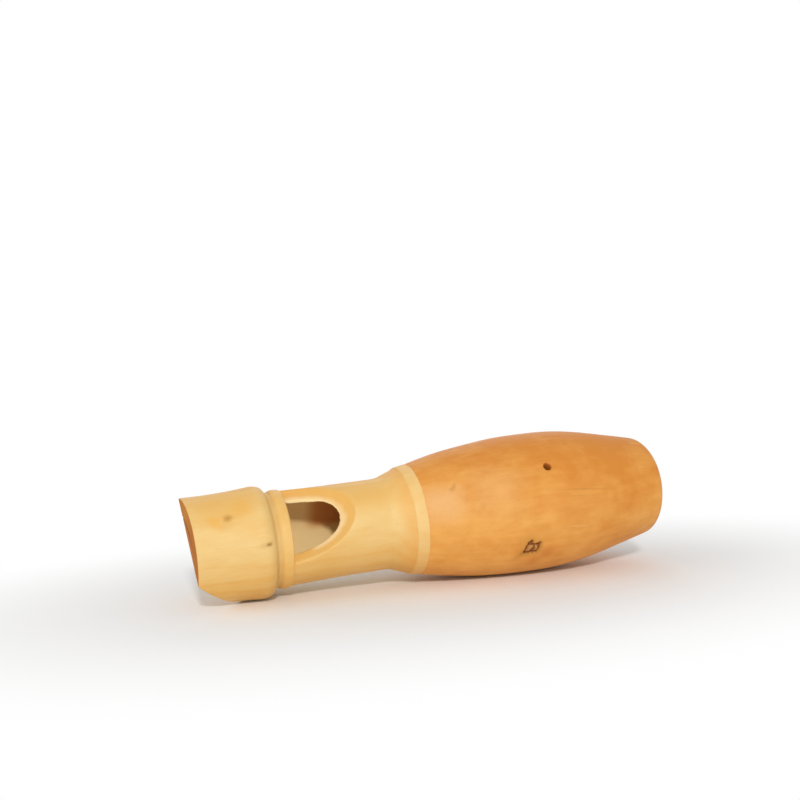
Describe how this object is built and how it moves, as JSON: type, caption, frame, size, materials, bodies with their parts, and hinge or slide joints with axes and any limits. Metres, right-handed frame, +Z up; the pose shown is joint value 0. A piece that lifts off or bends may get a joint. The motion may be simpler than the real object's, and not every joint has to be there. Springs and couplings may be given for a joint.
{
  "type": "bird call",
  "caption": "Turned wooden owl call laid on its side: a beak mouthpiece, a window beside a ring, a collared neck and a hollow round barrel with a finger hole in its end and a small hole above.",
  "frame": {"origin": "on the ground under the middle of the whistle, the bottom centre of its bounding box", "axes": "+X along the ground from the mouthpiece to the barrel's closed end, +Z up. The whistle lies on its shoulder and its belly, so its turning axis lies in the XZ plane and rises 3.7 degrees towards +X. The window and the small hole face 53 degrees from upright, towards -Y."},
  "size_m": [0.1451, 0.0416, 0.042],
  "materials": {
    "head_wood": "satin, pale yellow, fine straight grain",
    "block_wood": "dull, straight grain, darker than the head",
    "barrel_wood": "satin, warm tan, fine straight grain"
  },
  "bodies": {
    "root": {"head": "head_wood", "fipple_block": "block_wood", "barrel": "barrel_wood"}
  },
  "joints": []
}
